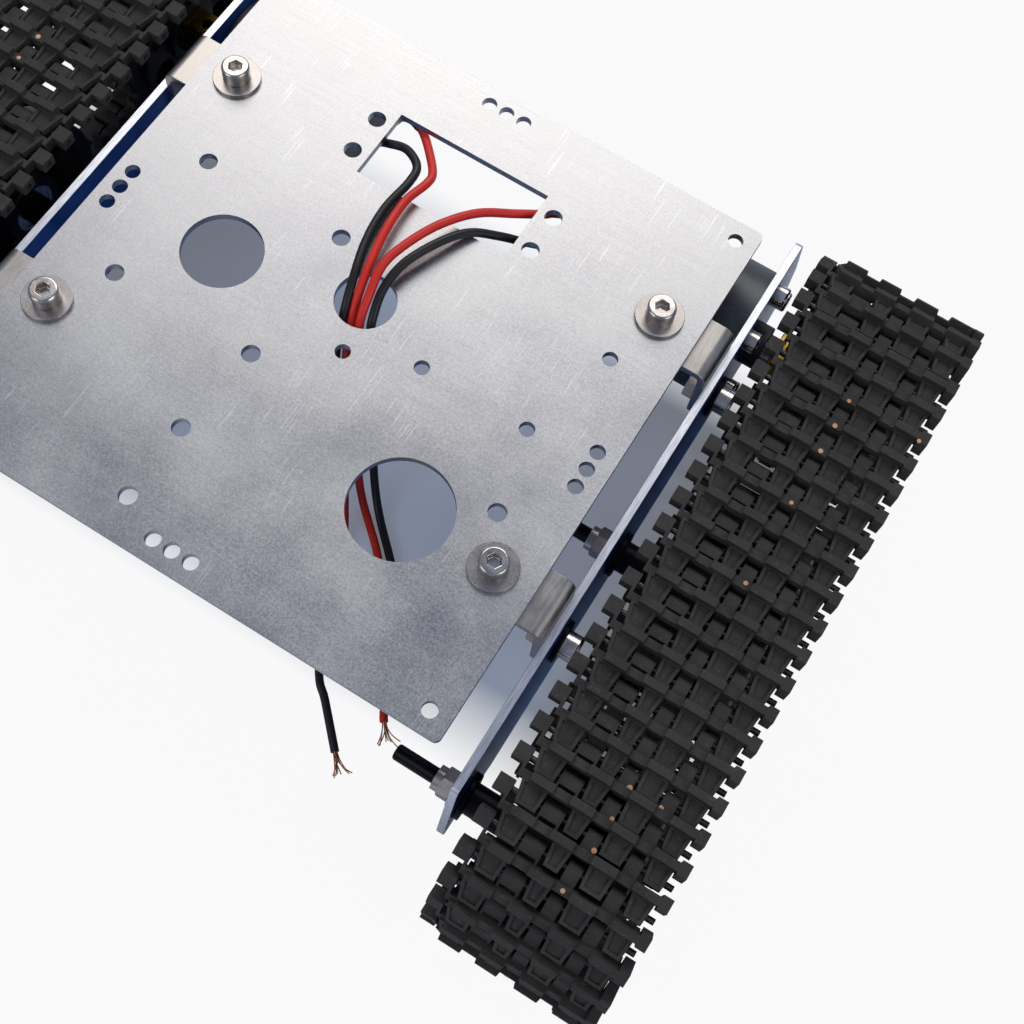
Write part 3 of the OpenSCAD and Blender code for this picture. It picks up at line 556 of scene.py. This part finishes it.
def strands(wire, start, heading):
    """Fine bare copper strands fraying out of a cut wire end, lying on the ground."""
    chance = random.Random(wire)
    tuft = []
    across = heading.cross(Vector((0, 0, 1))).normalized()
    up = across.cross(heading).normalized()
    for s in range(STRANDS):
        angle = 2 * math.pi * s / STRANDS
        spread = TUFT_R if s else 0.0
        root = start + spread * (math.cos(angle) * across + math.sin(angle) * up)
        fan = chance.uniform(-0.75, 0.75)
        curl = chance.uniform(-0.5, 0.5)
        length = STRAND_REACH * chance.uniform(0.65, 1.0)
        line = []
        for k in range(STRAND_STEPS + 1):
            t = k / STRAND_STEPS
            aside = fan * t * t * 0.6 + curl * t ** 3 * 0.4
            p = root + heading * length * t + across * length * aside
            wave = STRAND_WAVE * math.sin(3 * t + s)
            p.z = max(root.z * (1 - t) + STRAND_LIFT * t + wave, STRAND_R)
            line.append(p)
        tuft.append(tube(line, lambda i: STRAND_R, STRAND_SIDES))
    piece = from_mesh_code(wire + "_strands", tuft)
    give(piece, "copper")
    smooth(piece, 60)
    return piece


SLEEVE_L = 30 * MM
SLEEVE_WALL = 0.3 * MM


def make_sleeve(line):
    """A black tube over the first 30 mm of the left motor's red wire, from its terminal."""
    covered = [line[0]]
    while line_length(covered) < SLEEVE_L:
        covered.append(line[len(covered)])
    rim = len(covered) - 1

    def radius_at(i):
        return WIRE_D / 2 + SLEEVE_WALL * (0.5 if i in (0, rim) else 1)

    sleeve = from_mesh_code("black_wire_sleeve", [tube(covered, radius_at)])
    give(sleeve, "black_wire")
    smooth(sleeve, 50)
    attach(sleeve, "chassis")
    return sleeve


def make_wires():
    made = {}
    for name, route in ROUTES.items():
        line = smooth_route([Vector(p) * MM for p in route])
        piece = from_mesh_code(name + "_insulation", [tube(line, lambda i: WIRE_D / 2)])
        give(piece, "red_wire" if name.endswith("red") else "black_wire")
        smooth(piece, 50)
        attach(piece, "chassis")
        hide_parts(name)
        heading = (line[-1] - line[-3]).normalized()
        tuft = strands(name, line[-1], heading)
        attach(tuft, "chassis")
        made[name] = (piece, [tuft], line)
    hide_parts("bare_wire_ends")
    made["wire_left_red"][1].append(make_sleeve(made["wire_left_red"][2]))
    return made


wires = make_wires()

# ------------------------------------------------------------ moulding gates on the tracks

TRACK_PITCH = 7.7 * MM
RUN_LINKS = 18
HALF_TURN_LINKS = 10.5
TRACK_LINKS = 57
TRACK_PHASE = 0.24
HALF_BASE = RUN_LINKS * TRACK_PITCH / 2
PITCH_R = TRACK_PITCH / (2 * math.sin(math.pi / (2 * HALF_TURN_LINKS)))
AXLE_Z = PITCH_R + 4.4 * MM
TRACK_X = 88.5 * MM


def track_point(s):
    """Place on the track's pin line, s counted in links from the front wheel's top."""
    s %= TRACK_LINKS
    step = math.pi / HALF_TURN_LINKS
    if s < RUN_LINKS:
        return Vector((-HALF_BASE + s * TRACK_PITCH, PITCH_R))
    s -= RUN_LINKS
    if s < HALF_TURN_LINKS:
        return Vector((HALF_BASE + PITCH_R * math.sin(s * step), PITCH_R * math.cos(s * step)))
    s -= HALF_TURN_LINKS
    if s < RUN_LINKS:
        return Vector((HALF_BASE - s * TRACK_PITCH, -PITCH_R))
    s -= RUN_LINKS
    return Vector((-HALF_BASE - PITCH_R * math.sin(s * step), -PITCH_R * math.cos(s * step)))


def link_place(side, number, across, height):
    """A point on a link, across the track from its inner edge and out from its pin line,
    with the direction that points out of the track there."""
    start = track_point(number + TRACK_PHASE)
    end = track_point(number + 1 + TRACK_PHASE)
    along = (end - start).normalized()
    out = Vector((0, -along.y, along.x))
    middle = (start + end) / 2
    place = Vector((side * (TRACK_X + across), middle.x, AXLE_Z + middle.y)) + out * height
    return place, out


GATE_R = 0.62 * MM
GATE_H = 0.22 * MM
GATE_SIDES = 10
GATE_RING = 0.2 * MM
GATE_CROWN = 0.08 * MM
GATE_DIMPLE = 0.07 * MM
# Where a gate was cut on a link: across the track, the height of the bar there, and
# the share of links that still show it.
GATE_COLUMNS = [(20.2 * MM, 3.1 * MM, 0.4), (30.3 * MM, 3.1 * MM, 0.12)]
# The row in view on the right track: its far ends are image points, this many links
# apart, and only these links, counted from the front one, show their gate.
GATE_ROW_LINKS = 15
GATE_ROW_SHOWN = (-1, 0, 1, 4, 8, 11, 13, 14, 15)
# Distances from the camera at which a ray that misses looks for the nearest surface.
MISS_REACH = [0.2 + 0.002 * i for i in range(200)]
ABOVE_TRACK = Vector((0, 0, 10 * MM))


def surface_of(piece):
    return BVHTree.FromPolygons([v.co for v in piece.data.vertices],
                                [tuple(p.vertices) for p in piece.data.polygons])


def lands(point, surface):
    """Where the ray through an image point meets a surface, with the surface's normal.
    A miss takes the place on the surface that is nearest the ray."""
    direction = ray_through(*IMAGE_POINTS[point])
    place, normal, face, distance = surface.ray_cast(CAMERA_PLACE, direction)
    if place is None:
        tries = [surface.find_nearest(CAMERA_PLACE + direction * d) for d in MISS_REACH]
        place, normal, face, distance = min(tries, key=lambda found: found[3])
    return place, normal


def make_gate_spot():
    """One cut gate: a low disc with a turned-down rim and a small torn dimple."""
    deselect_all()
    bpy.ops.mesh.primitive_cylinder_add(vertices=GATE_SIDES, radius=GATE_R, depth=GATE_H)
    spot = bpy.context.object
    bpy.ops.object.mode_set(mode="EDIT")
    mesh = bmesh.from_edit_mesh(spot.data)
    for face in mesh.faces:
        face.select = face.normal.z > 0.9
    mesh.select_flush_mode()
    bmesh.update_edit_mesh(spot.data)
    for lift in (GATE_CROWN, -GATE_DIMPLE):
        bpy.ops.mesh.inset(thickness=GATE_RING)
        bpy.ops.transform.translate(value=(0, 0, lift))
    bpy.ops.object.mode_set(mode="OBJECT")
    return spot


def gates_in_view():
    """Places of the gates that show on the right track's top run, found by rays."""
    surface = surface_of(eased["track_links_right"])
    front = lands("gate_spot_front", surface)[0]
    rear = lands("gate_spot_rear", surface)[0]
    places = []
    for link in GATE_ROW_SHOWN:
        over = front + (rear - front) * link / GATE_ROW_LINKS + ABOVE_TRACK
        place, normal, face, distance = surface.ray_cast(over, -ABOVE_TRACK)
        places.append((place, normal))
    return places + [lands(point, surface) for point in ("outer_gate_front", "outer_gate_rear")]


def make_gate_spots(side, word, in_view):
    """All the cut gates of one track as one piece. Links whose gates were placed by
    rays take no other."""
    chance = random.Random(word)
    one = make_gate_spot()
    one_faces = [tuple(f.vertices) for f in one.data.polygons]
    places = list(in_view)
    for number in range(RUN_LINKS if in_view else 0, TRACK_LINKS):
        for across, height, share in GATE_COLUMNS:
            if chance.random() < share:
                astray = chance.uniform(-0.4, 0.4) * MM
                places.append(link_place(side, number, across + astray, height))
    spots = []
    for place, out in places:
        turn = Vector((0, 0, 1)).rotation_difference(out).to_matrix()
        size = chance.uniform(0.8, 1.1)
        spots.append(([place + turn @ (v.co * size) for v in one.data.vertices], one_faces))
    bpy.data.objects.remove(one)
    piece = from_mesh_code("gate_spots_" + word, spots)
    give(piece, "gate")
    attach(piece, "chassis")


gates = gates_in_view()
make_gate_spots(1, "right", gates)
make_gate_spots(-1, "left", [])

# ------------------------------------------------------------ floor, light and background

FLOOR_SIZE = 8
FLOOR_Z = -0.2 * MM
# The share of the floor's paleness that is its own glow, under the object and away from
# it, and the half width, half length, shift to the rear and edge of the part under it.
# There the lower glow is painted shade and the bluish colour a painted reflection of the film.
GLOW_UNDER = 0.15
GLOW_AWAY = 0.97
SHADE_X = 108 * MM
SHADE_Y = 47 * MM
SHADE_REAR = 10 * MM
SHADE_FADE = 24 * MM


def make_floor():
    """A pale floor that keeps the object's shadow; its paleness is its own colour. Under the
    object its glow drops, a painted shade, and its colour turns bluish, a painted reflection
    of the plates' film.
    """
    bpy.ops.mesh.primitive_plane_add(size=FLOOR_SIZE, location=(0, 0, FLOOR_Z))
    floor = bpy.context.object
    floor.name = "floor"
    finish, tree = new_finish("white_sweep_painted_shade")
    plain = add(tree, "TexCoord").outputs["Object"]
    place = add(tree, "SeparateXYZ", [add(tree, "Mapping", [plain, (0, -SHADE_REAR, 0)])])
    past = []
    for axis, half in (("X", SHADE_X), ("Y", SHADE_Y)):
        reach = add(tree, "Math", [place.outputs[axis]], operation="ABSOLUTE")
        past.append(add(tree, "Math", [reach, half], operation="SUBTRACT"))
    away = add(tree, "MapRange", [add(tree, "Math", past, operation="MAXIMUM"), 0, SHADE_FADE])
    # Painted shade: the floor's own glow is low under the object, so its shadow shows deeper there.
    share = add(tree, "MapRange", [away, 0, 1, GLOW_UNDER, GLOW_AWAY])
    # Painted reflection: the floor under the object is painted bluish, standing in for light off
    # the plates' blue film.
    colour = add(tree, "Mix", {0: away, 6: from_hex("B2D0F6"), 7: from_hex("F4F8FE")},
                 data_type="RGBA")
    paint = add(tree, "BsdfDiffuse", [colour.outputs[2]])
    glow = add(tree, "Emission", [from_hex("FBFBFC")])
    seen = add(tree, "LightPath").outputs["Is Camera Ray"]
    shown = add(tree, "Math", [seen, share], operation="MULTIPLY")
    add(tree, "OutputMaterial", [add(tree, "MixShader", [shown, paint, glow])])
    floor.data.materials.append(finish)


def make_world():
    """A faintly blue room for the light, and a white one for the camera."""
    world = bpy.data.worlds.new("studio")
    bpy.context.scene.world = world
    world.use_nodes = True
    tree = world.node_tree
    tree.nodes.clear()
    room = add(tree, "Background", {"Color": from_hex("C6D9FC"), "Strength": 0.32})
    white = add(tree, "Background", {"Color": from_hex("FCFCFC"), "Strength": 1.0})
    seen = add(tree, "LightPath").outputs["Is Camera Ray"]
    add(tree, "OutputWorld", [add(tree, "MixShader", [seen, room, white])])


# Name, place, width and height in metres, and power in watts.
SOFTBOXES = [
    ("rear_softbox", (-0.45, 1.0, 1.1), 1.3, 0.9, 9.8),
    ("side_softbox", (1.2, -0.2, 0.9), 0.8, 0.8, 4),
    ("front_softbox", (-0.7, -1.1, 1.0), 0.8, 0.8, 4.5),
]
LIT_PLACE = Vector((0, 0, 0.03))


def make_softboxes():
    for name, place, width, height, watts in SOFTBOXES:
        data = bpy.data.lights.new(name, "AREA")
        data.shape = "RECTANGLE"
        data.size, data.size_y = width, height
        data.energy = watts
        data.color = from_hex("FFFCF7")[:3]
        lamp = bpy.data.objects.new(name, data)
        lamp.location = place
        lamp.rotation_euler = (LIT_PLACE - lamp.location).to_track_quat("-Z", "Y").to_euler()
        bpy.context.scene.collection.objects.link(lamp)


make_floor()
make_world()
make_softboxes()

bpy.context.scene.view_settings.view_transform = "Standard"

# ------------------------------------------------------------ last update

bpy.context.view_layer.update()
